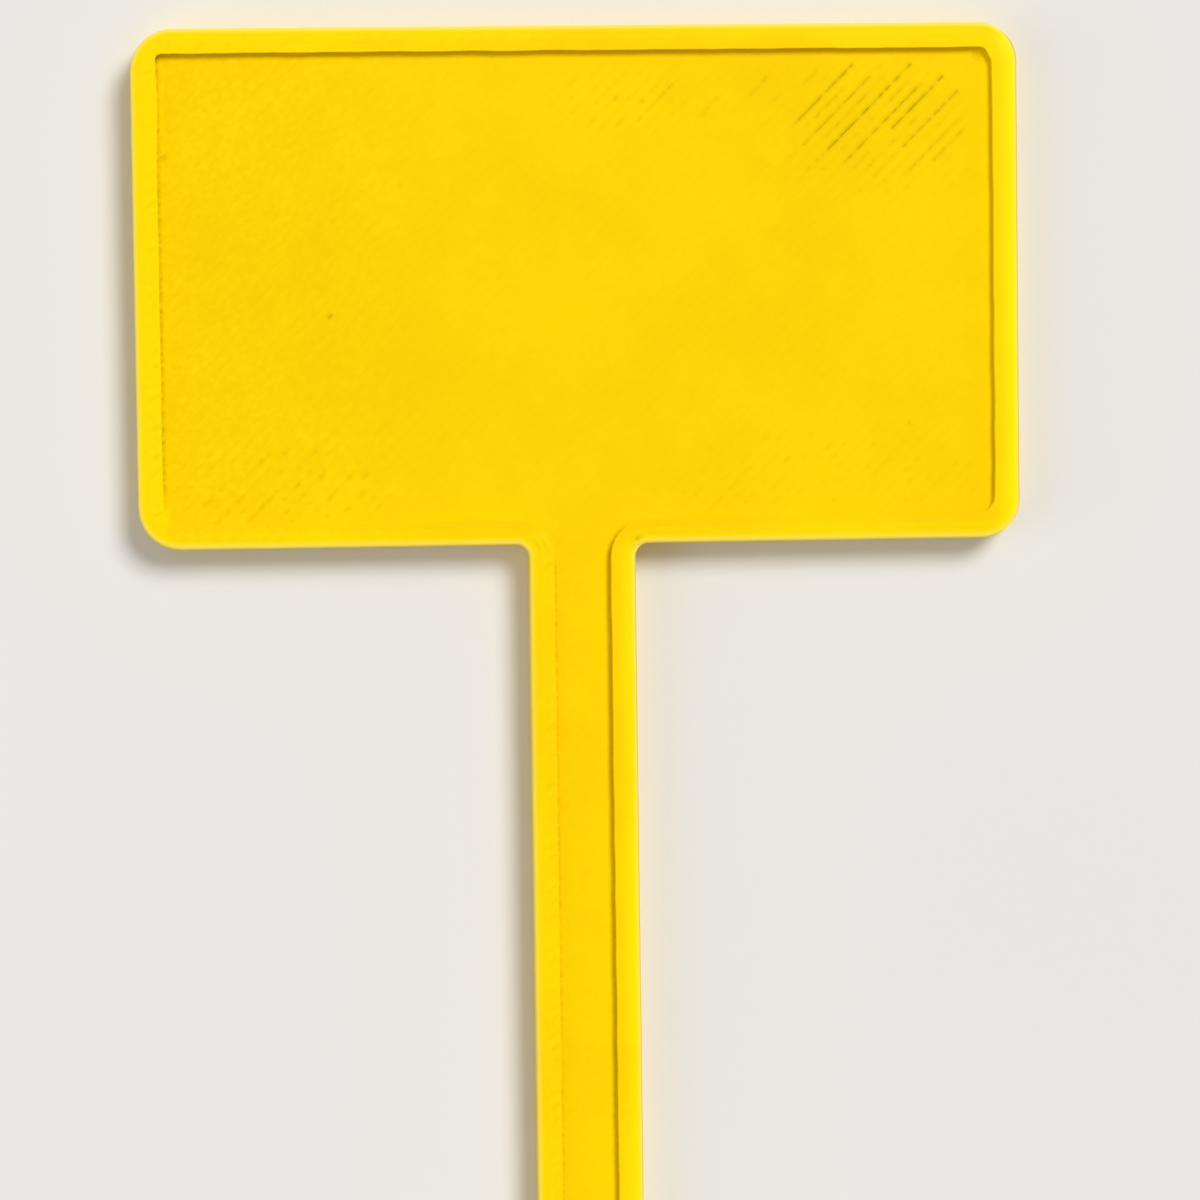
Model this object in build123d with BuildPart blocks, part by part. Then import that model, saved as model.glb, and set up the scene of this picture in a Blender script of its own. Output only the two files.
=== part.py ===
from build123d import *
import os

# A printed plant label: a rectangular head on a narrow stem that ends in a point.
# It lies on its back. +Z comes out of the writing face and +Y runs up to the head's
# top edge. The origin is the middle of the label's back.

# Driving dimensions in millimetres
overall_length = 80.0
head_width = 33.2
head_height = 19.4
stem_width = 4.0
point_length = 8.0
rim_width = 1.0

# Corners, seen from above
corner_radius = 1.45
neck_radius = 0.5
tip_radius = 0.6

# Heights above the table
floor_thickness = 1.2
rim_rise = 0.3
top_layer = 0.3

# Rounding of the rim's outer and inner top edges
edge_radius = 0.1

# Places worked out from the sizes above
half_length = overall_length / 2
head_bottom = half_length - head_height
neck_line = head_bottom - neck_radius
head_floor_bottom = head_bottom + rim_width
point_line = point_length - half_length
slab_thickness = floor_thickness - top_layer
full_thickness = floor_thickness + rim_rise

# Cutting planes between the head, the stem and the point, facing the head
neck_cut = Plane((0, neck_line, 0), z_dir=(0, 1, 0))
head_floor_cut = Plane((0, head_floor_bottom, 0), z_dir=(0, 1, 0))
point_cut = Plane((0, point_line, 0), z_dir=(0, 1, 0))

os.makedirs("parts", exist_ok=True)

# The stem and its point: straight sides that run on as tangents to the rounded tip
with BuildSketch() as stem_outline:
    with Locations((0, point_line)):
        Rectangle(stem_width, head_bottom - point_line, align=(Align.CENTER, Align.MIN))
    with Locations((0, tip_radius - half_length)):
        Circle(tip_radius)
    make_hull()

# The whole label, with the small fillets where the stem leaves the head
with BuildSketch() as outline:
    with Locations((0, head_bottom)):
        RectangleRounded(head_width, head_height, corner_radius, align=(Align.CENTER, Align.MIN))
    add(stem_outline.sketch)
    neck_corners = outline.vertices().sort_by_distance((0, head_bottom))[0:2]
    fillet(neck_corners, neck_radius)

# The sunk floor: everything that lies one rim width inside the outline
with BuildSketch() as floor_outline:
    offset(outline.sketch, amount=-rim_width, mode=Mode.ADD)

# The whole raised border, before it is cut into its stretches
with BuildPart() as border:
    with BuildSketch():
        add(outline.sketch)
        add(floor_outline.sketch, mode=Mode.SUBTRACT)
    extrude(amount=full_thickness)
    fillet(border.faces().sort_by(Axis.Z)[-1].edges(), edge_radius)

# The whole sunk floor, before it is cut into slabs and top layers
with BuildPart() as floor:
    with BuildSketch():
        add(floor_outline.sketch)
    extrude(amount=floor_thickness)

top_layer_cut = Plane.XY.offset(slab_thickness)

# Border round the head, open at the neck, where it turns down the stem
with BuildPart() as head_rim:
    add(border.part)
    split(bisect_by=neck_cut, keep=Keep.TOP)

# Solid slab behind the writing face
with BuildPart() as head_plate:
    add(floor.part)
    split(bisect_by=head_floor_cut, keep=Keep.TOP)
    split(bisect_by=top_layer_cut, keep=Keep.BOTTOM)

# Top layer of the head: the writing face
with BuildPart() as head_face:
    add(floor.part)
    split(bisect_by=head_floor_cut, keep=Keep.TOP)
    split(bisect_by=top_layer_cut, keep=Keep.TOP)

# Slab of the stem, which widens at the neck to meet the head's slab
with BuildPart() as stem_strip:
    add(floor.part)
    split(bisect_by=head_floor_cut, keep=Keep.BOTTOM)
    split(bisect_by=point_cut, keep=Keep.TOP)
    split(bisect_by=top_layer_cut, keep=Keep.BOTTOM)

# Top layer of the stem, the floor of its channel
with BuildPart() as stem_face:
    add(floor.part)
    split(bisect_by=head_floor_cut, keep=Keep.BOTTOM)
    split(bisect_by=point_cut, keep=Keep.TOP)
    split(bisect_by=top_layer_cut, keep=Keep.TOP)

# Ribs down the two sides of the stem
with BuildPart() as stem_ribs:
    add(border.part)
    split(bisect_by=neck_cut, keep=Keep.BOTTOM)
    split(bisect_by=point_cut, keep=Keep.TOP)

with BuildPart() as left_rib:
    add(stem_ribs.part)
    split(bisect_by=Plane.YZ, keep=Keep.BOTTOM)

with BuildPart() as right_rib:
    add(stem_ribs.part)
    split(bisect_by=Plane.YZ, keep=Keep.TOP)

# Point that goes into the soil: the ribs close up over the last of the floor
with BuildPart() as point:
    add(border.part)
    add(floor.part)
    split(bisect_by=point_cut, keep=Keep.BOTTOM)

head_rim.part.label = "head_rim"
export_step(head_rim.part, "parts/head_rim.step")

head_plate.part.label = "head_plate"
export_step(head_plate.part, "parts/head_plate.step")

head_face.part.label = "head_face"
export_step(head_face.part, "parts/head_face.step")

stem_strip.part.label = "stem_strip"
export_step(stem_strip.part, "parts/stem_strip.step")

stem_face.part.label = "stem_face"
export_step(stem_face.part, "parts/stem_face.step")

left_rib.part.label = "left_rib"
export_step(left_rib.part, "parts/left_rib.step")

right_rib.part.label = "right_rib"
export_step(right_rib.part, "parts/right_rib.step")

point.part.label = "point"
export_step(point.part, "parts/point.step")
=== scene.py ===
import bmesh
import bpy
import math
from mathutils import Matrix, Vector


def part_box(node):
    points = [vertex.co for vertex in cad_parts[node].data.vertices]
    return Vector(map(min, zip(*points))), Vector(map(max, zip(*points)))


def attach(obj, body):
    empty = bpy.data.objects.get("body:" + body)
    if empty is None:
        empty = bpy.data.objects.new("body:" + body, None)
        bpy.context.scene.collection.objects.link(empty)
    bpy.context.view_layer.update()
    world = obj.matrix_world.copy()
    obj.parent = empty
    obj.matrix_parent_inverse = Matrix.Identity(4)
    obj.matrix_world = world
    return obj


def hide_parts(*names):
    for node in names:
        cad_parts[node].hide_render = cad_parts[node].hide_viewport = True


# A printed plant label, dressed over its solids. It lies on its back on a pale floor.
# Everything is in metres. A stroke is one line of plastic as the nozzle laid it.

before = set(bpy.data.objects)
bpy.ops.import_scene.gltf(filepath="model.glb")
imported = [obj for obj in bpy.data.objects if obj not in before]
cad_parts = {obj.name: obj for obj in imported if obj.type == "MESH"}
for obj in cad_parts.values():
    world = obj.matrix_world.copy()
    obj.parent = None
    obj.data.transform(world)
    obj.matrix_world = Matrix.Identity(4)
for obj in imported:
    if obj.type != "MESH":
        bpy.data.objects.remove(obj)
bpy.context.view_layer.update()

MM = 0.001
HALF = 0.5
ROOT_TWO = math.sqrt(2)
FLAT = (1.0, 1.0, 0.0)
DOWN = (0.0, 0.0, -1.0)

# Sizes read from the solids
rim_low, rim_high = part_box("head_rim")
plate_low, plate_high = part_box("head_plate")
face_low, face_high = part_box("head_face")
rib_low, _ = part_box("left_rib")
point_low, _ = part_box("point")

head_side = rim_high.x
head_top = rim_high.y
full_height = rim_high.z
floor_height = face_high.z
slab_height = face_low.z
layer = floor_height - slab_height
rim_width = head_side - plate_high.x
stem_side = -rib_low.x
channel_side = stem_side - rim_width
point_line = rib_low.y
tip_end = point_low.y
neck_line = rim_low.y
face_bottom = face_low.y
layer_count = round(full_height / layer)

# Roundings of the outline. The head's left corners came out a touch rounder.
corner_radius = 1.45 * MM
soft_corner_radius = 1.6 * MM
neck_radius = 0.5 * MM
tip_radius = 0.6 * MM
head_bottom = neck_line + neck_radius
joint_line = neck_line - 0.26 * MM

# Cross-section of the border
layer_bulge = 0.035 * MM
shoulder_reach = 0.12 * MM
shoulder_drop = 0.09 * MM
crown_reach = 0.6 * MM
crown_drop = 0.02 * MM
inner_edge = 0.02 * MM
wall_back = 0.065 * MM
border_width = rim_width - wall_back
border_beads = 3
bead_groove = 0.006 * MM
bed_groove = 0.012 * MM
bed_groove_side = 0.03 * MM
bed_reach = 0.016 * MM
top_skin = (full_height - 0.1 * MM, full_height - 0.02 * MM)
upper_side = (full_height - 0.4 * MM, full_height - 0.15 * MM)
# How far in from the outline the painted pale edge highlight reaches
edge_highlight_reach = 0.21 * MM
settle_reach = 4.0 * MM

# How the strokes of the floors lie, and how close together their points are
stroke_pitch = 0.392 * MM
stroke_phase = -19.83 * MM
ledge_depth = 0.08 * MM
tuck = 0.4 * MM
core_tuck = 0.3 * MM
face_spacing = 0.3 * MM
fine_spacing = 0.13 * MM
back_spacing = 1.5 * MM
least_spacing = 0.02 * MM

overlap = 0.004 * MM
far_off = 1.0
no_walls = {"Left wall": -far_off, "Right wall": far_off, "Top wall": far_off}


# Helpers for node trees, shared by the shapes and the finishes

class Value:
    """An output in a node tree. Plain arithmetic with it adds the nodes for that."""

    def __init__(self, tree, socket):
        self.tree = tree
        self.socket = socket
        self.is_vector = socket.type in ("VECTOR", "RGBA")

    def step(self, operation, *others, which=0):
        """One step of arithmetic, on numbers or on vectors."""
        kind = "ShaderNodeVectorMath" if self.is_vector else "ShaderNodeMath"
        values = dict(enumerate((self, *others)))
        return output(self.tree, kind, values, which, operation=operation)

    def __add__(self, other):
        return self.step("ADD", other)

    def __sub__(self, other):
        return self.step("SUBTRACT", other)

    def __mul__(self, other):
        if self.is_vector and not isinstance(other, tuple):
            return output(self.tree, "ShaderNodeVectorMath", {0: self, "Scale": other},
                          operation="SCALE")
        return self.step("MULTIPLY", other)

    def __truediv__(self, other):
        return self.step("DIVIDE", other)

    def __pow__(self, other):
        return self.step("POWER", other)

    def __abs__(self):
        return self.step("ABSOLUTE")


def join(socket, value):
    """Links a socket to a value of its tree, or sets it to a plain one."""
    if isinstance(value, Value):
        value.tree.links.new(value.socket, socket)
    else:
        socket.default_value = value


def add_node(tree, kind, values=None, **settings):
    """Adds a node with its settings and joins or fills the sockets that are named."""
    node = tree.nodes.new(kind)
    for name, value in settings.items():
        setattr(node, name, value)
    for socket, value in (values or {}).items():
        join(node.inputs[socket], value)
    return node


def output(tree, kind, values=None, which=0, **settings):
    """Adds a node and gives one of its outputs."""
    return Value(tree, add_node(tree, kind, values, **settings).outputs[which])


def rise(value, low, high, bottom=0.0, top=1.0):
    """Climbs smoothly from bottom to top while the value goes from low to high."""
    values = {"Value": value, "From Min": low, "From Max": high,
              "To Min": bottom, "To Max": top}
    return output(value.tree, "ShaderNodeMapRange", values,
                  interpolation_type="SMOOTHSTEP")


def largest(first, *others):
    """The largest of some numbers."""
    for other in others:
        first = first.step("MAXIMUM", other)
    return first


def distance(first, second):
    """How far two places lie apart."""
    return first.step("DISTANCE", second, which="Value")


def dot(first, second):
    """How far one vector reaches along another, which is 1 long."""
    return first.step("DOT_PRODUCT", second, which="Value")


def parts_of(vector):
    """The x, y and z of a vector."""
    node = add_node(vector.tree, "ShaderNodeSeparateXYZ", {0: vector})
    return [Value(vector.tree, socket) for socket in node.outputs]


def upwards(amount):
    """A move straight up by this much."""
    return output(amount.tree, "ShaderNodeCombineXYZ", {2: amount})


def grain(position, size, detail=2.0, roughness=0.5, which=0):
    """Noise whose lumps are about this size. Output 1 is a vector."""
    values = {"Vector": position, "Scale": 1.0 / size,
              "Detail": detail, "Roughness": roughness}
    return output(position.tree, "ShaderNodeTexNoise", values, which)


# Helpers for shapes

def spot(x, y):
    """A place on the label, given in millimetres."""
    return (x * MM, y * MM, 0.0)


def shape_tree(name, inputs):
    """A new geometry tree. Its inputs are listed by kind and given back by name."""
    tree = bpy.data.node_groups.new(name, "GeometryNodeTree")
    new_socket = tree.interface.new_socket
    for way in ("INPUT", "OUTPUT"):
        new_socket("Geometry", in_out=way, socket_type="NodeSocketGeometry")
    for kind, labels in inputs.items():
        for label in labels:
            new_socket(label, in_out="INPUT", socket_type="NodeSocket" + kind)
    group = add_node(tree, "NodeGroupInput")
    return {socket.name: Value(tree, socket) for socket in group.outputs if socket.name}


def shape_of(helper):
    """The geometry of an object that is an input of the tree."""
    return output(helper.tree, "GeometryNodeObjectInfo", {"Object": helper}, "Geometry")


def remember(mesh, tones):
    """Stores numbers on every point, under the names that the finishes read."""
    for name, value in tones.items():
        mesh = output(mesh.tree, "GeometryNodeStoreNamedAttribute",
                      {"Geometry": mesh, "Name": name, "Value": value},
                      data_type="FLOAT", domain="POINT")
    return mesh


def close_tree(mesh, offset, material, under_material=None):
    """Ends a tree: points moved, instances made real, then the finish, and one of its
    own for the faces that lay on the bed."""
    tree = mesh.tree
    moved = output(tree, "GeometryNodeSetPosition", {"Geometry": mesh, "Offset": offset})
    real = output(tree, "GeometryNodeRealizeInstances", {0: moved})
    done = output(tree, "GeometryNodeSetMaterial", {"Geometry": real,
                                                    "Material": material})
    if under_material:
        height = parts_of(output(tree, "GeometryNodeInputPosition"))[2]
        done = output(tree, "GeometryNodeSetMaterial", {
            "Geometry": done, "Selection": height.step("LESS_THAN", bed_reach),
            "Material": under_material})
    add_node(tree, "NodeGroupOutput", {0: done})
    return tree


class Sweep:
    """A cross-section swept along paths. Sideways is inwards on the border, and across
    is how far a point lies that way from the path."""

    def __init__(self, sizes, path):
        tree = path.tree
        path = output(tree, "GeometryNodeSetCurveNormal", {0: path}, mode="Z_UP")
        keep = add_node(tree, "GeometryNodeCaptureAttribute", {0: path})
        keep.capture_items.new("VECTOR", "Centre")
        keep.capture_items.new("VECTOR", "Sideways")
        self.position = output(tree, "GeometryNodeInputPosition")
        join(keep.inputs[1], self.position)
        join(keep.inputs[2], output(tree, "GeometryNodeInputNormal"))
        curve, self.centre, self.sideways = [Value(tree, socket)
                                             for socket in keep.outputs[:3]]
        self.mesh = output(tree, "GeometryNodeCurveToMesh", {
            "Curve": curve, "Profile Curve": shape_of(sizes["Section"]),
            "Fill Caps": True})
        self.sizes = sizes
        self.x, self.y, self.z = parts_of(self.position)
        self.side_x, self.side_y, _ = parts_of(self.sideways)
        self.flat = self.position * FLAT
        self.away = self.position - self.centre
        self.across = dot(self.away, self.sideways)


def link(name, data):
    """Puts new data into the scene as an object."""
    made = bpy.data.objects.new(name, data)
    bpy.context.scene.collection.objects.link(made)
    return made


def drop(*objects):
    """Takes helper objects out of the scene."""
    for helper in objects:
        bpy.data.objects.remove(helper)


def line_object(name, lines, closed=False):
    """A curve object with one straight-sided spline for each list of points."""
    curve = bpy.data.curves.new(name, "CURVE")
    curve.dimensions = "3D"
    for points in lines:
        spline = curve.splines.new("POLY")
        spline.points.add(len(points) - 1)
        for place, point in zip(spline.points, points):
            place.co = (*point, 1.0)
        spline.use_cyclic_u = closed
    return link(name, curve)


def run_tree(name, tree, lines, section, sizes):
    """Sweeps a section along lines with one of the trees, as a plain mesh. The section's
    points are (sideways, height), clockwise."""
    source = line_object(name + "_path", lines)
    outline = [(across, -up, 0.0) for across, up in section]
    profile = line_object(name + "_section", [outline], True)
    sizes = {**sizes, "Section": profile}
    modifier = source.modifiers.new(tree.name, "NODES")
    modifier.node_group = tree
    for item in tree.interface.items_tree:
        if item.in_out == "INPUT" and item.name in sizes:
            modifier[item.identifier] = sizes[item.name]
    graph = bpy.context.evaluated_depsgraph_get()
    mesh = bpy.data.meshes.new_from_object(source.evaluated_get(graph), depsgraph=graph)
    source.modifiers.clear()
    drop(source, profile)
    return mesh


def mesh_of(name, points, faces, material):
    """A mesh from points and faces, with one finish."""
    mesh = bpy.data.meshes.new(name)
    mesh.from_pydata(points, [], faces)
    mesh.materials.append(material)
    mesh.validate()
    return mesh


def finish_piece(name, meshes, slot, *nodes):
    """Joins meshes into one piece that rides on the label and stands for its nodes."""
    sharp_angle = math.radians(40)
    piece = link(name, meshes[0])
    extras = [link(name + ".part", mesh) for mesh in meshes[1:]]
    if extras:
        with bpy.context.temp_override(active_object=piece, object=piece,
                                       selected_editable_objects=[piece, *extras]):
            bpy.ops.object.join()
    piece.data.shade_smooth()
    piece.data.set_sharp_from_angle(angle=sharp_angle)
    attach(piece, "root")
    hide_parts(*nodes)


# Finishes

def new_material(name):
    """A material, its shader node, and the place of each point on the object."""
    material = bpy.data.materials.new(name)
    material.use_nodes = True
    tree = material.node_tree
    place = output(tree, "ShaderNodeTexCoord", which="Object")
    return material, tree.nodes["Principled BSDF"], place


def blend_colour(share, first, second):
    """First colour where the share is 0, second where it is 1."""
    return output(share.tree, "ShaderNodeMix", {"Factor": share, 6: first, 7: second}, 2,
                  data_type="RGBA")


def stored(tree, name):
    """A number that the shape's tree stored on the points."""
    return output(tree, "ShaderNodeAttribute", which="Fac", attribute_name=name)


def drawn_specks(place):
    """Fine specks drawn out along the strokes, from -0.5 to 0.5."""
    speck_size, drawn_out = 0.21 * MM, (1.4, 1.0, 1.0)
    drawn = output(place.tree, "ShaderNodeMapping", {
        "Vector": place, "Rotation": (0.0, 0.0, math.radians(45)),
        "Scale": drawn_out}, vector_type="TEXTURE")
    return grain(drawn, speck_size) - HALF


def cloudiness(place):
    """Wide uneven patches of lighter and deeper yellow."""
    cloud_size = 6.0 * MM
    clouds = grain(place, cloud_size, detail=5.0, roughness=0.68)
    return rise(clouds, 0.3, 0.7, bottom=0.35, top=0.59)


def plastic(name, colour, deep_colour, roughness, sheen, mottle, fine_bump,
            left_shade=0.0, side_tone=0.0):
    """Printed plastic: grain drawn out along the strokes and most marked on the left,
    painted shade on the left third and in crevices, painted pale edge highlights, and
    painted light on the right."""
    # Colours painted in for light and shade: shade in crevices, light on the right side, a
    # pale highlight along the outer edge
    crevice_shade_colour = (0.5, 0.355, 0.0, 1.0)
    painted_light_colour = (1.0, 1.0, 0.0, 1.0)
    edge_highlight_colour = (1.0, 0.78, 0.11, 1.0)
    ragged_size, shade_weight, bump_strength = 0.14 * MM, -0.15, 0.5
    left_third, outer_parts = (-3.0 * MM, -13.0 * MM), (2.0 * MM, 11.0 * MM)
    material, shader, place = new_material(name)
    tree = place.tree
    x = parts_of(place)[0]
    left = rise(x, *left_third, bottom=0.25)
    specks = drawn_specks(place) * left
    # Painted shade: the left third is made a little darker, as the light falls from the
    # right
    tone = specks * mottle + cloudiness(place) + left * left_shade
    tone += rise(abs(x), *outer_parts) * side_tone
    tone = rise(tone + stored(tree, "inner_shade") * shade_weight, 0.2, 0.65)
    shade = blend_colour(tone, deep_colour, colour)
    ragged = rise(grain(place, ragged_size), 0.35, 0.6, bottom=0.55)
    # Painted shade, painted light and a painted edge highlight, laid over the plastic's
    # own tone
    shade = blend_colour(stored(tree, "crevice") * ragged, shade, crevice_shade_colour)
    shade = blend_colour(stored(tree, "glow"), shade, painted_light_colour)
    shade = blend_colour(stored(tree, "pale_edge"), shade, edge_highlight_colour)
    join(shader.inputs["Base Color"], shade)
    gloss = rise(specks, -0.2, 0.2, bottom=roughness - 0.04, top=roughness + 0.06)
    join(shader.inputs["Roughness"], gloss)
    join(shader.inputs["Specular IOR Level"], sheen)
    bump = output(tree, "ShaderNodeBump", {
        "Height": specks, "Strength": bump_strength, "Distance": fine_bump}, "Normal")
    join(shader.inputs["Normal"], bump)
    return material


def border_plastic():
    """Yellow of the raised border, a touch lighter than the floor."""
    return plastic("border_yellow", (1.0, 0.725, 0.0, 1.0), (0.985, 0.63, 0.0, 1.0),
                   roughness=0.38, sheen=0.06, mottle=0.5, fine_bump=0.01 * MM,
                   side_tone=0.14)


def face_plastic():
    """Yellow of the sunk floor, laid in diagonal strokes."""
    return plastic("face_yellow", (1.0, 0.68, 0.0, 1.0), (0.945, 0.62, 0.0, 1.0),
                   roughness=0.42, sheen=0.045, mottle=0.72, fine_bump=0.009 * MM,
                   left_shade=-0.11)


def back_plastic():
    """Yellow of the underside, pressed glossy on the printer's bed."""
    return plastic("back_yellow", (0.98, 0.68, 0.001, 1.0), (0.95, 0.64, 0.0, 1.0),
                   roughness=0.27, sheen=0.4, mottle=0.4, fine_bump=0.005 * MM)


def pale_floor():
    """Plain pale table top."""
    cloud_size = 40.0 * MM
    material, shader, place = new_material("pale_floor")
    shade = blend_colour(grain(place, cloud_size), (0.80, 0.785, 0.76, 1.0),
                         (0.83, 0.815, 0.79, 1.0))
    join(shader.inputs["Base Color"], shade)
    join(shader.inputs["Roughness"], 0.9)
    join(shader.inputs["Specular IOR Level"], 0.1)
    return material


# The raised border: one cross-section carried round the outline

def top_height(inset):
    """Height of the border's top this far in from the outline: a gentle crown towards
    the outer side, a rounded shoulder, and shallow grooves between the beads."""
    bead = abs(math.sin(border_beads * math.pi * inset / border_width))
    height = full_height - bead_groove * (1 - bead) ** 2
    if inset < crown_reach:
        height -= crown_drop * (1 - inset / crown_reach) ** 2
    if inset < shoulder_reach:
        turn = 1 - inset / shoulder_reach
        height -= shoulder_drop * (1 - math.sqrt(1 - turn ** 2))
    return height


def outer_wall():
    """The bulged layers from the table up to the top layer's shoulder."""
    points = []
    shares = (0.0, 0.2, 0.5, 0.8)
    for number in range(layer_count):
        for share in shares:
            lift = (number + share) * layer
            if lift < top_height(0.0) - overlap:
                points.append((layer_bulge * abs(2 * share - 1) ** 3, lift))
    return points


def border_top():
    """From the outer shoulder to the crisp inner edge."""
    shoulder_steps, crown_steps = 6, 15
    insets = [shoulder_reach * (1 - math.cos(math.radians(90 * step / shoulder_steps)))
              for step in range(shoulder_steps + 1)]
    inner = border_width - inner_edge
    insets += [shoulder_reach + (inner - shoulder_reach) * step / crown_steps
               for step in range(1, crown_steps)]
    points = [(inset, top_height(inset)) for inset in insets]
    return points + [(inner, full_height), (border_width, full_height - inner_edge)]


def inner_wall():
    """The one layer that shows above the floor, undercut where it meets the strokes."""
    middle = (floor_height + full_height) * HALF
    return [(border_width, middle),
            (border_width - layer_bulge, floor_height - overlap)]


def border_underside():
    """Pressed flat on the bed, with shallow grooves between its beads, from the inside
    out."""
    points = []
    for bead in range(border_beads - 1, 0, -1):
        middle = border_width * bead / border_beads
        points += [(middle + bed_groove_side, 0.0), (middle, bed_groove),
                   (middle - bed_groove_side, 0.0)]
    return points


def border_section():
    """The whole cross-section of the border, from the outline inwards and back."""
    return (outer_wall() + border_top() + inner_wall() + [(rim_width, 0.0)]
            + border_underside())


def arc(centre, radius, start, end, steps=14):
    """Points along part of a circle. Angles in degrees."""
    points = []
    for step in range(steps + 1):
        turn = math.radians(start + (end - start) * step / steps)
        points.append((centre[0] + radius * math.cos(turn),
                       centre[1] + radius * math.sin(turn), 0.0))
    return points


def head_corner(x, y, radius, start):
    """A quarter turn, clockwise, round the head's corner whose edges meet at x, y."""
    up = math.copysign(radius, y - (head_top + head_bottom) * HALF)
    return arc((x - math.copysign(radius, x), y - up), radius, start, start - 90)


def head_outline():
    """Outline of the head from the left of the neck, clockwise, to its right."""
    neck = stem_side + neck_radius
    return ([(-stem_side, joint_line, 0.0)]
            + arc((-neck, neck_line), neck_radius, 0, 90)
            + head_corner(-head_side, head_bottom, soft_corner_radius, 270)
            + head_corner(-head_side, head_top, soft_corner_radius, 180)
            + head_corner(head_side, head_top, corner_radius, 90)
            + head_corner(head_side, head_bottom, corner_radius, 0)
            + arc((neck, neck_line), neck_radius, 90, 180)
            + [(stem_side, joint_line, 0.0)])


def inner_nudges():
    """Where the inner wall strays: place on the outline, reach, and how far inwards.
    One inner corner is sharper and two are rounder than the outline's."""
    return [(spot(-16.13, 39.53), 1.2 * MM, -0.17 * MM),
            (spot(16.18, 21.02), 2.4 * MM, 0.07 * MM),
            (spot(-16.6, 37.3), 2.4 * MM, 0.07 * MM),
            (spot(16.4, 39.2), 1.5 * MM, 0.07 * MM)]


def layer_wander(sweep):
    """Every layer wanders a little on its own along the outline."""
    wander_size = 1.3 * MM
    stretched, less_up = (1.0, 1.0, 6.0), (1.0, 1.0, 0.5)
    wander = grain(sweep.position * stretched, wander_size, roughness=0.6, which=1)
    wander = (wander - (HALF, HALF, HALF)) * less_up
    return wander * sweep.sizes["Unevenness"]


def wall_sway(sweep):
    """The inner wall sways in and out more than the rest, and strays at some corners."""
    sway_size, sway_start, nudge_power = 2.2 * MM, 0.6 * MM, 1.7
    sway = (grain(sweep.centre, sway_size) - HALF) * sweep.sizes["Sway"]
    for place, reach, inwards in inner_nudges():
        near = rise(distance(sweep.centre, place), reach, 0.0)
        sway = near ** nudge_power * inwards + sway
    return sweep.sideways * (sway * rise(sweep.across, sway_start, border_width))


def infill_lumps(sweep):
    """Slanted lumps where the infill runs under the left inner half."""
    lump_size = 0.7 * MM
    inner_start, inner_end = (0.42 * MM, 0.62 * MM), (0.92 * MM, 0.82 * MM)
    inner = rise(sweep.across, *inner_start) * rise(sweep.across, *inner_end)
    slant = sweep.x - sweep.y - stroke_phase * ROOT_TWO
    wave = (slant * (2 * math.pi / (stroke_pitch * ROOT_TWO))).step("SINE")
    uneven = rise(grain(sweep.position, lump_size), 0.42, 0.66, top=1.2)
    on_left = rise(sweep.side_x, 0.9, 0.99)
    return wave * uneven * (inner * on_left) * sweep.sizes["Infill lumps"]


def right_side(sweep):
    """One on the border's right side, nothing on the rest of it."""
    return rise(sweep.side_x, -0.3, -1.0)


def start_pit(sweep):
    """A pit where the outer line starts."""
    pit_radius, deepest = 0.14 * MM, 0.75
    near = distance(sweep.flat, sweep.sizes["Seam pit"])
    return rise(near, pit_radius, 0.0, top=deepest)


def start_ring(sweep):
    """The ring that the nozzle left where it came down."""
    ring_radius, ring_side, ring_height = 0.15 * MM, 0.09 * MM, 0.045 * MM
    near = distance(sweep.flat, sweep.sizes["Start ring"])
    return rise(abs(near - ring_radius), ring_side, 0.0, top=ring_height)


def border_lift(sweep):
    """What raises or lowers the border's top. On the right it leans outwards."""
    pit_depth, lean_power, lean_reach = 0.07 * MM, 1.5, (0.75 * MM, -0.1 * MM)
    lean = rise(sweep.across, *lean_reach) ** lean_power
    lean = lean * right_side(sweep) * sweep.sizes["Right lean"]
    lift = infill_lumps(sweep) + start_ring(sweep) - lean
    return (start_pit(sweep) * -pit_depth + lift) * rise(sweep.z, *top_skin)


def border_tones(sweep, settled):
    """What the finish needs, all painted into the colour: shade on the inner wall, in the
    start pit and over the inner half, a pale highlight at the outer edge, and light on the
    right."""
    widest_edge_highlight, wall_light, painted_light_power = 0.3 * MM, 0.85, 1.5
    wall_skin = (border_width - 0.05 * MM, border_width - 0.01 * MM)
    painted_light_reach, brightening = (0.95 * MM, 0.0), (4.0 * MM, 12.0 * MM)
    above = rise(sweep.z, 0.3 * MM, 0.9 * MM)
    deep = rise(sweep.z, full_height - 0.02 * MM, full_height - 0.15 * MM)
    high_up = rise(sweep.z, *upper_side)
    wall = deep * above * rise(sweep.across, *wall_skin)
    shaded = (rise(sweep.side_x, -0.9, -0.3, top=0.12)
              * rise(sweep.side_y, 0.3, 0.9, bottom=1.0, top=0.0))
    inner_shade = (rise(sweep.across, 0.1 * MM, border_width)
                   * rise(sweep.side_x, 0.95, 0.3, bottom=0.2)
                   * rise(sweep.side_y, 0.3, 0.9, bottom=1.0, top=1.7) * above)
    reach = rise(sweep.side_y, 0.0, 1.0, bottom=edge_highlight_reach, top=widest_edge_highlight)
    on_right = right_side(sweep)
    # Painted light: the right side's top lightens towards its outer edge and towards the
    # right end; its inner wall is lightened too
    glow = rise(sweep.across, *painted_light_reach) ** painted_light_power * on_right * high_up
    glow *= rise(sweep.x, *brightening, bottom=0.3, top=0.52)
    # All painted into the colour: shade on the inner wall and in the start pit, light on
    # the right, a highlight at the outer edge, shade over the inner half
    return {"crevice": largest(wall * shaded, start_pit(sweep) * above),
            "glow": largest(glow, wall * (on_right * wall_light)) * settled,
            "pale_edge": rise(sweep.across, reach, 0.0) * high_up,
            "inner_shade": inner_shade}


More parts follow.
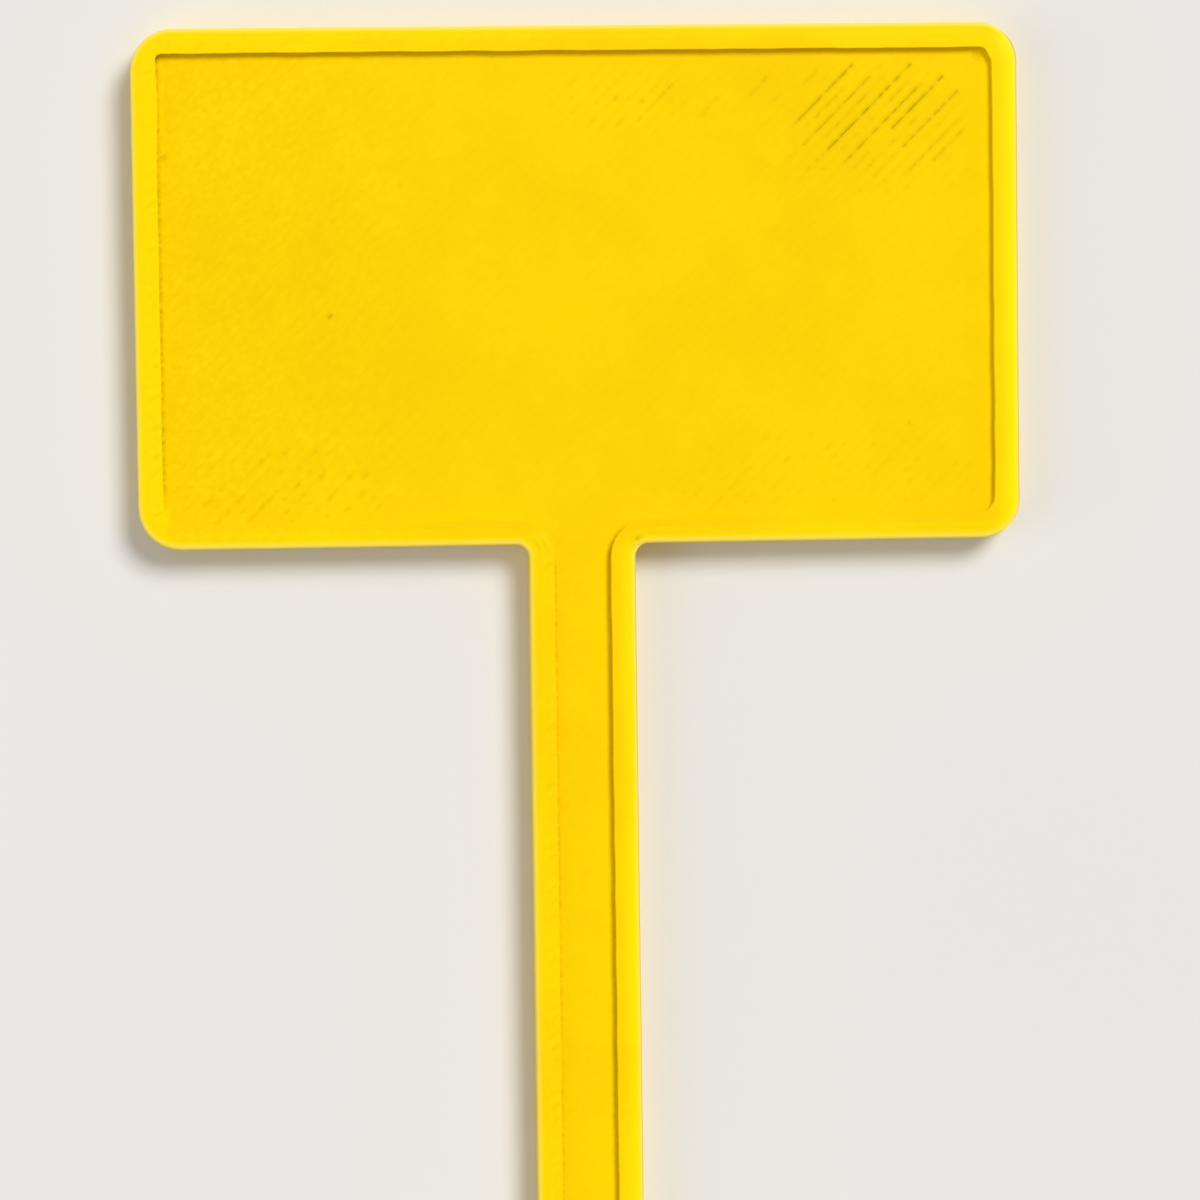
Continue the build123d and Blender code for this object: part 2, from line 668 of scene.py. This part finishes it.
def border_tree():
    """Sweeps the border's section along the outline and leaves it as printed."""
    sizes = shape_tree("printed_border", {
        "Object": ["Section"],
        "Float": ["Step", "Unevenness", "Sway", "Right lean", "Infill lumps"],
        "Vector": ["Seam pit", "Start ring"],
        "Material": ["Finish", "Back finish"]})
    path = sizes["Geometry"]
    path = output(path.tree, "GeometryNodeResampleCurve",
                  {"Curve": path, "Length": sizes["Step"]}, mode="LENGTH")
    sweep = Sweep(sizes, path)
    # Unevenness fades out where the ribs run into the point
    settled = rise(sweep.y, point_line, point_line + settle_reach)
    lift = upwards(border_lift(sweep))
    offset = (layer_wander(sweep) + wall_sway(sweep) + lift) * settled
    mesh = remember(sweep.mesh, border_tones(sweep, settled))
    return close_tree(mesh, offset, sizes["Finish"], sizes["Back finish"])


def border_run(name, outline, step):
    """One stretch of the border as a plain mesh."""
    return run_tree(name, border, [outline], border_section(), {
        "Step": step, "Unevenness": 0.022 * MM, "Sway": 0.09 * MM,
        "Right lean": 0.13 * MM, "Infill lumps": 0.026 * MM,
        "Seam pit": spot(2.11, 20.78), "Start ring": spot(-1.53, 20.69),
        "Finish": border_yellow, "Back finish": back_yellow})


def head_border():
    """Border round the head, open at the neck."""
    mesh = border_run("head_border", head_outline(), 0.085 * MM)
    finish_piece("head_border", [mesh], "yellow_plastic", "head_rim")


def stem_rib(name, node, side):
    """One rib of the stem. The path climbs on the left and comes down on the right."""
    low, high = (side * stem_side, point_line, 0.0), (side * stem_side, joint_line, 0.0)
    mesh = border_run(name, [low, high] if side < 0 else [high, low], 0.11 * MM)
    finish_piece(name, [mesh], "yellow_plastic", node)


# The floor: strokes laid side by side at 45 degrees

def stroke_section(groove):
    """Cross-section of one stroke about its own middle: flat top, eased edges, and a
    ledge on each side that stays put where a gap opens above it."""
    flat_share, eased_share, eased_drop = 0.55, 0.84, 0.3
    side = stroke_pitch * HALF + overlap
    top = layer * HALF
    right = [(0.0, top), (side * flat_share, top),
             (side * eased_share, top - groove * eased_drop),
             (side, top - groove), (side, top - ledge_depth), (side, -top - overlap)]
    left = [(-across, up) for across, up in reversed(right[1:])]
    return left + right


def at(across, along):
    """A place on the floor, from its place across the strokes and along them."""
    return ((along + across) / ROOT_TWO, (along - across) / ROOT_TWO, 0.0)


def stroke_middle(number):
    """Sideways place of a stroke: x minus y over root two."""
    return stroke_phase + (number + HALF) * stroke_pitch


def loose_patches():
    """Ovals where the strokes lie slightly apart: middle and reach in mm, and how far."""
    return [((11.0, 36.0), (4.8, 3.2), 0.55), ((-10.9, 22.7), (5.4, 2.5), 0.5),
            ((9.0, 23.0), (8.0, 2.4), 0.32), ((1.6, 37.2), (3.4, 1.5), 0.55)]


def in_loose_patch(across, along):
    """True for a place on a stroke that lies in one of the loose patches."""
    x, y, _ = at(across, along)
    return any(math.hypot((x / MM - middle[0]) / reach[0],
                          (y / MM - middle[1]) / reach[1]) < 1.0
               for middle, reach, _ in loose_patches())


def close_places(number, low, high):
    """Places along a stroke that need points close together: where it goes under the
    border at both ends, and the ends of its open gaps."""
    end_step, end_steps = 0.055 * MM, range(-1, 7)
    gap_step, gap_steps = 0.05 * MM, range(-3, 4)
    under = tuck * ROOT_TWO
    places = []
    for step in end_steps:
        places += [low + under + step * end_step, high - under - step * end_step]
    for gap, start, end, _ in open_gaps():
        if gap in (number, number + 1):
            for edge in (start * MM, end * MM):
                places += [edge + step * gap_step for step in gap_steps]
    return places


def stroke_path(number, low, high, spacing):
    """Points along a stroke, closer together at its ends and where gaps open."""
    across = stroke_middle(number)
    places = [low, high, *close_places(number, low, high)]
    along = low
    while along < high:
        places.append(along)
        along += min(spacing, fine_spacing) if in_loose_patch(across, along) else spacing
    made = []
    for along in sorted(place for place in places if low <= place <= high):
        if not made or along - made[-1] > least_spacing:
            made.append(along)
    made[-1] = high
    return [at(across, along) for along in made]


def along_at_x(across, x):
    """Where a stroke passes this x, as a place along it."""
    return x * ROOT_TWO - across


def along_at_y(across, y):
    """Where a stroke passes this y, as a place along it."""
    return y * ROOT_TWO + across


def in_neck(across):
    """True for a stroke that passes from the head into the neck."""
    return abs(face_bottom + across * ROOT_TWO) < stem_side + neck_radius


def strokes_between(low, high, ends, spacing, shortest=stroke_pitch * HALF):
    """Every stroke whose middle lies between two sideways places. Ends works out where
    a stroke begins and stops, from its own sideways place."""
    lines = []
    first = math.ceil((low - stroke_phase) / stroke_pitch - HALF)
    last = math.floor((high - stroke_phase) / stroke_pitch - HALF)
    for number in range(first, last + 1):
        begin, stop = ends(stroke_middle(number))
        if stop - begin > shortest:
            lines.append(stroke_path(number, begin, stop, spacing))
    return lines


def head_strokes(spacing):
    """Every stroke on the head. Its ends run on under the border, but not at the neck."""
    side, top, bottom = plate_high.x + tuck, plate_high.y + tuck, face_bottom - tuck

    def ends(across):
        end_y = face_bottom if in_neck(across) else bottom
        return (max(along_at_x(across, -side), along_at_y(across, end_y)),
                min(along_at_x(across, side), along_at_y(across, top)))

    return strokes_between(-(side + top) / ROOT_TWO, (side - bottom) / ROOT_TWO, ends,
                           spacing, shortest=stroke_pitch)


def under_left_fillet(across):
    """Where a stroke has run far enough under the fillet at the left of the neck."""
    middle_x, middle_y = -stem_side - neck_radius, neck_line
    aside = across - (middle_x - middle_y) / ROOT_TWO
    reach = neck_radius + rim_width - tuck
    return (middle_x + middle_y) / ROOT_TWO + math.sqrt(reach ** 2 - aside ** 2)


def stem_strokes(spacing, run_on=0.0):
    """Every stroke on the neck and down the stem's channel, as far as the point, and
    run on into it where that is hidden."""
    side = channel_side + tuck
    bottom = point_line - run_on

    def ends(across):
        high = along_at_x(across, side)
        if in_neck(across):
            high = along_at_y(across, face_bottom)
        low = max(along_at_x(across, -side), along_at_y(across, bottom))
        if low > along_at_y(across, neck_line):
            low = under_left_fillet(across)
        return low, high

    return strokes_between(-(stem_side + neck_radius + face_bottom) / ROOT_TWO,
                           (side - bottom) / ROOT_TWO, ends, spacing)


def open_gaps():
    """Gaps left open between strokes: gap number, its two ends along the stroke in mm,
    and how far it opens."""
    return [(0, 31.7, 34.5, 0.9), (1, 32.2, 33.6, 0.5), (2, 31.3, 34.6, 0.7),
            (3, 32.3, 34.4, 0.55), (4, 31.4, 36.1, 1.0), (5, 34.4, 35.2, 0.5),
            (6, 31.8, 35.8, 0.8), (7, 34.0, 36.6, 0.95), (9, 33.8, 36.6, 0.75),
            (11, 33.2, 35.9, 0.45), (12, 34.2, 35.7, 0.5), (-5, 31.1, 31.9, 0.5),
            (-3, 31.5, 31.8, 0.3), (-2, 32.8, 33.4, 0.35), (7, 31.8, 32.6, 0.4),
            (9, 32.2, 33.3, 0.4), (-11, 28.1, 29.2, 0.5), (-7, 29.2, 30.0, 0.35),
            (-13, 5.6, 6.2, 0.45), (-11, 6.5, 7.1, 0.4), (-11, 7.5, 8.0, 0.35),
            (-9, 8.2, 8.6, 0.4), (-15, 5.7, 6.1, 0.4), (-7, 9.3, 9.6, 0.4),
            (-19, 14.02, 14.1, 0.9), (-23, 19.4, 19.45, 0.5), (28, 26.4, 26.45, 0.6)]


def gap_object():
    """The open gaps as edges, each with its opening."""
    points, edges, openings = [], [], []
    for number, start, end, opening in open_gaps():
        across = stroke_phase + number * stroke_pitch
        points += [at(across, start * MM), at(across, end * MM)]
        edges.append((len(points) - 2, len(points) - 1))
        openings.append(opening)
    mesh = bpy.data.meshes.new("open_gaps")
    mesh.from_pydata(points, edges, [])
    store = mesh.attributes.new("opening", "FLOAT", "EDGE")
    store.data.foreach_set("value", openings)
    return link("open_gaps", mesh)


def pit_object():
    """Places of small pits in the floor: the top right corner and the left wall."""
    places = [spot(15.2, 38.72), spot(15.08, 38.8), spot(-15.51, 35.17)]
    mesh = bpy.data.meshes.new("pits")
    mesh.from_pydata(places, [], [])
    return link("pits", mesh)


def nearness(shape, place, parts):
    """How far a place lies from the points or edges of a shape."""
    return output(shape.tree, "GeometryNodeProximity",
                  {0: shape, "Sample Position": place}, "Distance",
                  target_element=parts)


def gaps_by_hand(shape, gap_place):
    """How far the gaps placed one by one open here, ragged along their length."""
    tree = shape.tree
    gap_reach, ragged_size = (0.16 * MM, 0.02 * MM), 0.33 * MM
    index = output(tree, "GeometryNodeSampleNearest",
                   {"Geometry": shape, "Sample Position": gap_place}, domain="EDGE")
    named = output(tree, "GeometryNodeInputNamedAttribute", {"Name": "opening"},
                   data_type="FLOAT")
    opening = output(tree, "GeometryNodeSampleIndex",
                     {"Geometry": shape, "Value": named, "Index": index},
                     data_type="FLOAT", domain="EDGE")
    near = rise(nearness(shape, gap_place, "EDGES"), *gap_reach)
    ragged = rise(grain(gap_place, ragged_size), 0.35, 0.58, bottom=0.25)
    return opening * near * ragged


def patch(place, middle, reach):
    """One inside an oval on the floor, fading to nothing at its edge."""
    across, up, full_share = reach[0] * MM, reach[1] * MM, 0.45
    away = (place - spot(*middle)) * (1 / across, 1 / up, 0.0)
    return rise(away.step("LENGTH", which="Value"), 1.0, full_share)


def looseness(gap_place):
    """How far apart the strokes sit in the loose patches."""
    return largest(*[patch(gap_place, middle, reach) * amount
                     for middle, reach, amount in loose_patches()])


def gap_opening(sizes, gap_place, loose):
    """How far the gap line beside a point opens, from 0 to 1."""
    spot_size, rest_size = 0.42 * MM, 2.5 * MM
    by_hand = gaps_by_hand(shape_of(sizes["Gaps"]), gap_place)
    spots = rise(grain(gap_place, spot_size, roughness=0.6), 0.5, 0.7)
    rest = rise(grain(gap_place, rest_size), 0.35, 0.7, top=0.03)
    return (largest(by_hand, spots * loose) + rest).step("MINIMUM", 1.0)


def side_walls(sweep, from_left, from_right, share):
    """How far the floor sinks at the side walls, which also sets its painted shade there:
    dotted on the left, where it ends before the head's bottom corner."""
    left_line, right_line = (0.145 * MM, 0.03 * MM), (0.3 * MM, 0.06 * MM)
    corner_line, last_line = (0.3 * MM, 1.2 * MM), (0.1 * MM, -0.4 * MM)
    dots = rise(share, 0.5, 1.0, bottom=0.88)
    from_bottom = abs(sweep.y - face_bottom)
    at_left = rise(from_left, *left_line) * dots
    at_left *= rise(from_bottom, *corner_line, bottom=0.1)
    at_right = rise(from_right, *right_line, top=sweep.sizes["Right shade"])
    past_end = sweep.y - sweep.sizes["Side walls end"]
    return largest(at_left, at_right) * rise(past_end, *last_line)


def right_fillet(sweep):
    """How far the floor sinks, and how much painted shade it takes, before the fillet at
    the right of the neck.
    """
    start, end, line = (-0.4 * MM, 0.1 * MM), (1.42 * MM, 1.0 * MM), (0.17 * MM, 0.03 * MM)
    middle = (stem_side + neck_radius, neck_line, 0.0)
    beyond = distance(sweep.flat, middle) - (neck_radius + border_width)
    past_neck = sweep.y - neck_line
    return rise(past_neck, *start) * rise(past_neck, *end) * rise(beyond, *line, top=0.8)


def floor_sag_and_shade(sweep, from_left, from_right, share):
    """How far the strokes sag where they meet the border, and in the small pits; the same
    amount sets the painted shade there.
    """
    top_line, pit_edge = 0.08 * MM, (0.22 * MM, 0.05 * MM)
    at_sides = side_walls(sweep, from_left, from_right, share)
    at_top = rise(sweep.sizes["Top wall"] - sweep.y, top_line, 0.0, top=0.2)
    from_pit = nearness(shape_of(sweep.sizes["Pits"]), sweep.flat, "POINTS")
    return largest(at_sides, at_top, right_fillet(sweep),
                   rise(from_pit, *pit_edge, top=0.6))


def stroke_lumps(sweep):
    """Mottled height, drawn out along the strokes and strongest on the left third."""
    lump_size, drawn_out, left_third = 0.5 * MM, 0.45, (-4.0 * MM, -12.0 * MM)
    along = dot(sweep.centre, sweep.sideways.step("CROSS_PRODUCT", DOWN))
    aside = dot(sweep.centre, sweep.sideways)
    drawn = output(along.tree, "ShaderNodeCombineXYZ", {0: along * drawn_out, 1: aside})
    mottle = rise(sweep.x, *left_third, bottom=0.3)
    return (grain(drawn, lump_size) - HALF) * mottle * sweep.sizes["Unevenness"]


def stroke_tree():
    """Sweeps every stroke and opens the gaps between neighbours."""
    sizes = shape_tree("laid_strokes", {
        "Object": ["Section", "Gaps", "Pits"],
        "Float": ["Pitch", "Widest gap", "Gap depth", "Unevenness", "Left wall",
                  "Right wall", "Top wall", "Side walls end", "Wall sag", "Wall light",
                  "Right shade", "Right heap", "Gap shade", "Wall shade"],
        "Material": ["Finish"]})
    sweep = Sweep(sizes, sizes["Geometry"])
    heap_reach, painted_light_reach = (1.2 * MM, 0.1 * MM), (0.5 * MM, 0.05 * MM)

    # Where the point lies in its stroke, and the gap line beside it
    side = sweep.across.step("SIGN")
    half_pitch = sizes["Pitch"] * HALF
    gap_place = sweep.centre * FLAT + sweep.sideways * (side * half_pitch)
    share = abs(sweep.across) / half_pitch
    from_left = sweep.x - sizes["Left wall"]
    from_right = sizes["Right wall"] - sweep.x

    # The edge of the stroke draws back from the gap and sinks beside it
    loose = looseness(gap_place)
    gap = gap_opening(sizes, gap_place, loose)
    ledge = layer * HALF - ledge_depth
    upper = rise(parts_of(sweep.away)[2], ledge + 0.01 * MM, ledge + 0.06 * MM)
    shoulder = rise(share, 0.5, 1.0) * gap * upper
    inwards = sweep.sideways * (shoulder * side * sizes["Widest gap"] * -1.0)

    # It sags at the walls, heaps up before the right one and is mottled all over
    sag_and_shade = floor_sag_and_shade(sweep, from_left, from_right, share)
    heap = rise(from_right, *heap_reach, top=sizes["Right heap"])
    lumps = (stroke_lumps(sweep) + heap) * upper
    lift = lumps - (shoulder * sizes["Gap depth"] + sag_and_shade * upper * sizes["Wall sag"])

    # What the finish needs: painted shade beside gaps and walls, and painted light near
    # the left wall and on the stroke tops of the loose patches
    crevice = largest(rise(share, 0.25, 1.0) * gap * sizes["Gap shade"],
                      sag_and_shade * sizes["Wall shade"])
    glow = largest(rise(from_left, *painted_light_reach) * sizes["Wall light"],
                   loose * rise(share, 0.9, 0.2, top=0.07))
    mesh = remember(sweep.mesh, {"crevice": crevice, "glow": glow})
    return close_tree(mesh, inwards + upwards(lift), sizes["Finish"])


def lay_strokes(name, lines, finish, level, groove, sizes, upside_down=False):
    """All strokes of one floor as a plain mesh. Level is the height of their middle."""
    raised = [[(x, y, level) for x, y, _ in line] for line in lines]
    shape = stroke_section(groove)
    if upside_down:
        shape = [(across, -up) for across, up in reversed(shape)]
    return run_tree(name, strokes, raised, shape, {
        "Pitch": stroke_pitch, "Gaps": gaps, "Pits": pits, "Finish": finish, **sizes})


def lay_face(name, lines, walls):
    """Strokes of a sunk floor, with its walls as the tree's inputs name them."""
    middle, groove = (slab_height + floor_height) * HALF, 0.004 * MM
    return lay_strokes(name, lines, face_yellow, middle, groove, {
        # The gaps are real openings, darkened further with painted shade
        "Widest gap": 0.012 * MM, "Gap depth": 0.016 * MM, "Gap shade": 0.55,
        "Unevenness": 0.035 * MM, **walls})


def writing_face():
    """The head's floor, inside the border."""
    mesh = lay_face("writing_face", head_strokes(face_spacing), {
        "Left wall": plate_low.x - wall_back, "Right wall": plate_high.x + wall_back,
        "Top wall": plate_high.y + wall_back, "Side walls end": far_off,
        # At the walls the floor sags and takes painted shade, and near the left wall
        # painted light
        "Wall sag": 0.045 * MM, "Wall shade": 0.95, "Wall light": 0.15,
        "Right heap": 0.05 * MM})
    finish_piece("writing_face", [mesh], "yellow_face", "head_face")


def channel_floor():
    """The floor of the neck and of the stem's channel."""
    side = channel_side + wall_back
    mesh = lay_face("channel_floor", stem_strokes(face_spacing), {
        "Left wall": -side, "Right wall": side, "Top wall": far_off,
        # At the walls the floor sags and takes painted shade, and near the left wall
        # painted light
        "Side walls end": neck_line, "Wall sag": 0.01 * MM, "Wall shade": 0.55,
        "Wall light": 0.05, "Right shade": 0.4})
    finish_piece("channel_floor", [mesh], "yellow_face", "stem_face")


# The back: slabs whose first layer was pressed flat on the bed

def slab_mesh(name, outline):
    """The closed core of a slab, above its first layer."""
    count = len(outline)
    points = [(x, y, z) for z in (layer, slab_height) for x, y in outline]
    faces = [tuple(reversed(range(count))), tuple(range(count, 2 * count))]
    for here in range(count):
        after = (here + 1) % count
        faces.append((here, after, count + after, count + here))
    return mesh_of(name, points, faces, back_yellow)


def back_piece(name, lines, outline, node):
    """One slab: strokes of the first layer, which lie the other way, under its core."""
    crossing = [[(-x, y, z) for x, y, z in line] for line in lines]
    groove = 0.02 * MM
    under = lay_strokes(name, crossing, back_yellow, layer * HALF + overlap, groove,
                        no_walls, upside_down=True)
    core = slab_mesh(name + "_core", outline)
    finish_piece(name, [under, core], "yellow_plastic", node)


def head_back():
    """Slab behind the writing face."""
    side, top = plate_high.x + core_tuck, plate_high.y + core_tuck
    outline = [(-side, face_bottom), (side, face_bottom), (side, top), (-side, top)]
    back_piece("head_back", head_strokes(back_spacing), outline, "head_plate")


def stem_back():
    """Slab of the stem, wider at the neck."""
    side = channel_side + core_tuck
    flare = stem_side + neck_radius
    outline = [(-side, point_line), (side, point_line), (side, neck_line),
               (flare, face_bottom), (-flare, face_bottom), (-side, neck_line)]
    back_piece("stem_back", stem_strokes(back_spacing, tuck), outline, "stem_strip")


# The point that goes into the soil

def taper():
    """Lean of the point's sides from upright, and the middle of its rounded tip."""
    centre = tip_end + tip_radius
    run = point_line - centre
    reach = math.hypot(stem_side, run)
    return math.atan2(stem_side, run) - math.asin(tip_radius / reach), centre


def point_loop(inset, height, steps=46, turns=8):
    """Left half of the point's outline, moved in by inset, from the stem to the tip."""
    lean, centre = taper()
    start = (-(stem_side - inset / math.cos(lean)), point_line)
    bend = max(tip_radius - inset, 0.0)
    if bend > 0:
        end = (-bend * math.cos(lean), centre - bend * math.sin(lean))
    else:
        end = (0.0, point_line - (stem_side - inset / math.cos(lean)) / math.tan(lean))
    points = []
    for step in range(steps):
        share = step / steps
        points.append((start[0] + (end[0] - start[0]) * share,
                       start[1] + (end[1] - start[1]) * share, height))
    for step in range(turns + 1):
        angle = math.pi + lean + (math.pi / 2 - lean) * step / turns
        place = ((bend * math.cos(angle), centre + bend * math.sin(angle))
                 if bend > 0 else end)
        points.append((*place, height))
    points[-1] = (0.0, points[-1][1], height)
    return points


def eased(value, low, high):
    """Climbs smoothly from 0 to 1 while the value goes from low to high."""
    share = min(max((value - low) / (high - low), 0.0), 1.0)
    return share * share * (3 - 2 * share)


def point_section():
    """The border's cross-section, with the floor's end run in to the middle."""
    lean, _ = taper()
    middle = stem_side * math.cos(lean)
    return (outer_wall() + border_top() + inner_wall()
            + [(border_width, slab_height), (middle, slab_height), (middle, 0.0)]
            + border_underside())


def point_mesh():
    """Both halves of the point as one closed shell, with the floor's end between."""
    section = point_section()
    loops = [point_loop(inset, height) for inset, height in section]
    count, rows = len(loops[0]), len(loops)
    points, faces = [], []
    for side in (1, -1):
        base = len(points)
        for loop in loops:
            points.extend((side * x, y, z) for x, y, z in loop)
        for row in range(rows):
            here, below = base + row * count, base + (row + 1) % rows * count
            for step in range(count - 1):
                quad = (here + step, here + step + 1, below + step + 1, below + step)
                faces.append(quad if side > 0 else tuple(reversed(quad)))
    mesh = mesh_of("point_shell", points, faces, border_yellow)
    mesh.materials.append(back_yellow)
    for face in mesh.polygons:
        face.material_index = 1 if face.center.z < bed_reach else 0
    # A painted pale highlight along the point's outer edge, as on the border
    highlight_shares = [eased(inset, edge_highlight_reach, 0.0) * eased(height, *upper_side)
                for inset, height in section]
    store = mesh.attributes.new("pale_edge", "FLOAT", "POINT")
    store.data.foreach_set("value", 2 * [pale for pale in highlight_shares
                                         for _ in range(count)])
    return mesh


def clean_shell(mesh):
    """Merges the shell's doubles, closes what is open and turns its faces outwards."""
    merge_reach = 0.0005 * MM
    shell = bmesh.new()
    shell.from_mesh(mesh)
    bmesh.ops.remove_doubles(shell, verts=shell.verts, dist=merge_reach)
    bmesh.ops.dissolve_degenerate(shell, edges=shell.edges, dist=merge_reach)
    edges = [edge for edge in shell.edges if edge.is_boundary]
    bmesh.ops.holes_fill(shell, edges=edges, sides=0)
    bmesh.ops.recalc_face_normals(shell, faces=shell.faces)
    shell.to_mesh(mesh)
    shell.free()
    return mesh


def point_strokes():
    """Ends of the strokes on the last of the floor, inside the point."""
    lean, _ = taper()
    slope = math.tan(lean)
    inner = channel_side + tuck

    def ends(across):
        top = point_line + across * ROOT_TWO
        right = (inner - slope * top) / (1 - slope)
        left = (-inner + slope * top) / (1 + slope)
        return (along_at_x(across, max(left, -inner)),
                along_at_x(across, min(right, top)))

    return strokes_between((-inner - point_line) / ROOT_TWO,
                           (inner - tip_end) / ROOT_TWO, ends, face_spacing)


def soil_point():
    """The point: border shell and the last strokes of the floor."""
    shell = clean_shell(point_mesh())
    mesh = lay_face("point_floor", point_strokes(), no_walls)
    finish_piece("soil_point", [shell, mesh], "yellow_plastic", "point")


# Stage, lights and camera

def table_top():
    """A wide pale floor just under the label."""
    reach, height = 1.5, -0.02 * MM
    corners = [(x * reach, y * reach, height)
               for x, y in ((-1, -1), (1, -1), (1, 1), (-1, 1))]
    floor = link("table_top", mesh_of("table_top", corners, [(0, 1, 2, 3)], pale_floor()))


def soft_sun(name, energy, spread, bearing, height):
    """A distant soft lamp. Angles in degrees, the bearing from +X towards +Y."""
    lamp = bpy.data.lights.new(name, "SUN")
    lamp.energy = energy
    lamp.angle = math.radians(spread)
    sun = link(name, lamp)
    turn, up = math.radians(bearing), math.radians(height)
    towards = Vector((math.cos(turn) * math.cos(up), math.sin(turn) * math.cos(up),
                      math.sin(up)))
    sun.location = towards * HALF
    sun.rotation_euler = towards.to_track_quat("Z", "Y").to_euler()


def room_light():
    """Even white light from all round, shown pale where the camera sees it."""
    world = bpy.data.worlds.new("room")
    bpy.context.scene.world = world
    world.use_nodes = True
    tree = world.node_tree
    tree.nodes.clear()
    fill = output(tree, "ShaderNodeBackground", {"Color": (1.0, 0.99, 0.975, 1.0),
                                                 "Strength": 0.37})
    shown = output(tree, "ShaderNodeBackground", {"Color": (0.82, 0.805, 0.78, 1.0),
                                                  "Strength": 1.0})
    seen = output(tree, "ShaderNodeLightPath", which="Is Camera Ray")
    mix = output(tree, "ShaderNodeMixShader", {0: seen, 1: fill, 2: shown})
    add_node(tree, "ShaderNodeOutputWorld", {0: mix})


def photo_camera():
    """Camera straight above the head, tilted a little, as the label was taken."""
    tilt = (-3.106, -3.555, -0.760)
    data = bpy.data.cameras.new("camera")
    data.sensor_width = 36.0
    data.lens = 126.76
    data.clip_start = 0.01
    camera = link("camera", data)
    camera.location = (-9.10 * MM, 27.23 * MM, 160.0 * MM)
    camera.rotation_euler = [math.radians(turn) for turn in tilt]
    bpy.context.scene.camera = camera


photo_camera()
room_light()
soft_sun("key_lamp", energy=2.27, spread=26, bearing=50, height=50)
soft_sun("fill_lamp", energy=0.55, spread=40, bearing=190, height=30)
table_top()

border_yellow = border_plastic()
face_yellow = face_plastic()
back_yellow = back_plastic()

border = border_tree()
head_border()
stem_rib("left_stem_rib", "left_rib", -1)
stem_rib("right_stem_rib", "right_rib", 1)

strokes = stroke_tree()
gaps = gap_object()
pits = pit_object()
writing_face()
channel_floor()
head_back()
stem_back()
soil_point()
drop(gaps, pits)

bpy.context.scene.view_settings.view_transform = "Standard"
